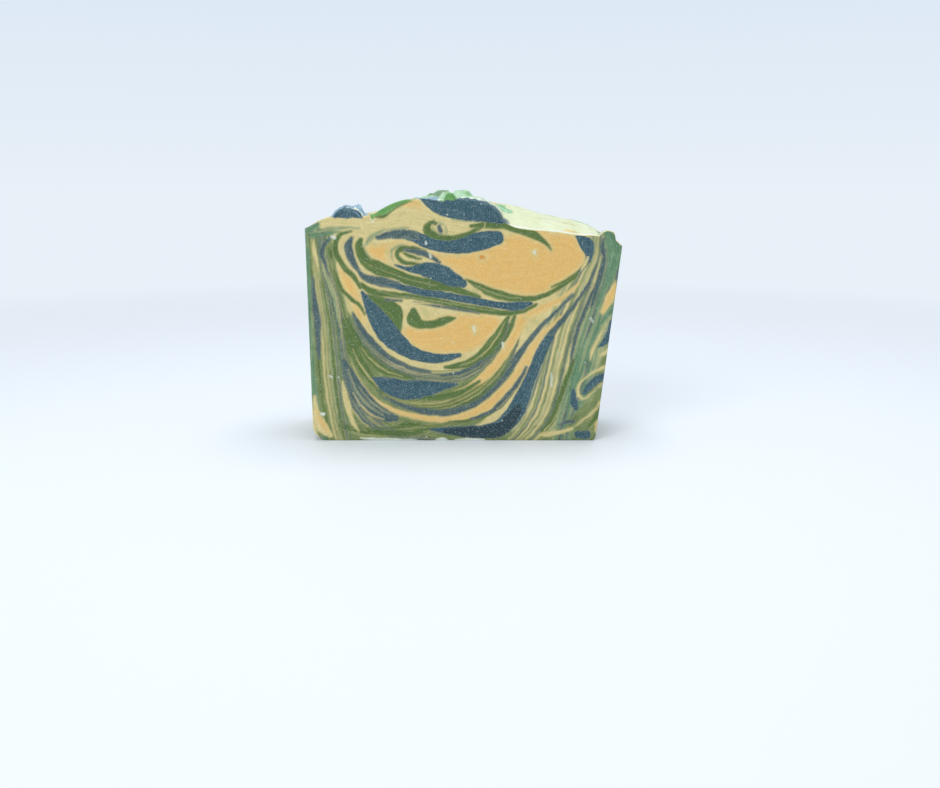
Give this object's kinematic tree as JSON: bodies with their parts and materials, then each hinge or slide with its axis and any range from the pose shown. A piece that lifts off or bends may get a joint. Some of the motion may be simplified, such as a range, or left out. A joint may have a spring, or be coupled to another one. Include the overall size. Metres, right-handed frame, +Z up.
{
  "type": "bar of soap",
  "caption": "Thick slice of handmade swirl soap with flat cut faces, a tapered foot and a spooned, textured top.",
  "frame": {"origin": "middle of the bar's length and thickness, on the flat foot", "axes": "+X along the bar's length to the right as seen from the front cut, -Y out of the front cut, +Z up from the foot to the textured top"},
  "size_m": [0.0806, 0.025, 0.0649],
  "materials": {
    "soap": "matte, slightly waxy"
  },
  "bodies": {
    "root": {"soap_bar": "soap"}
  },
  "joints": []
}
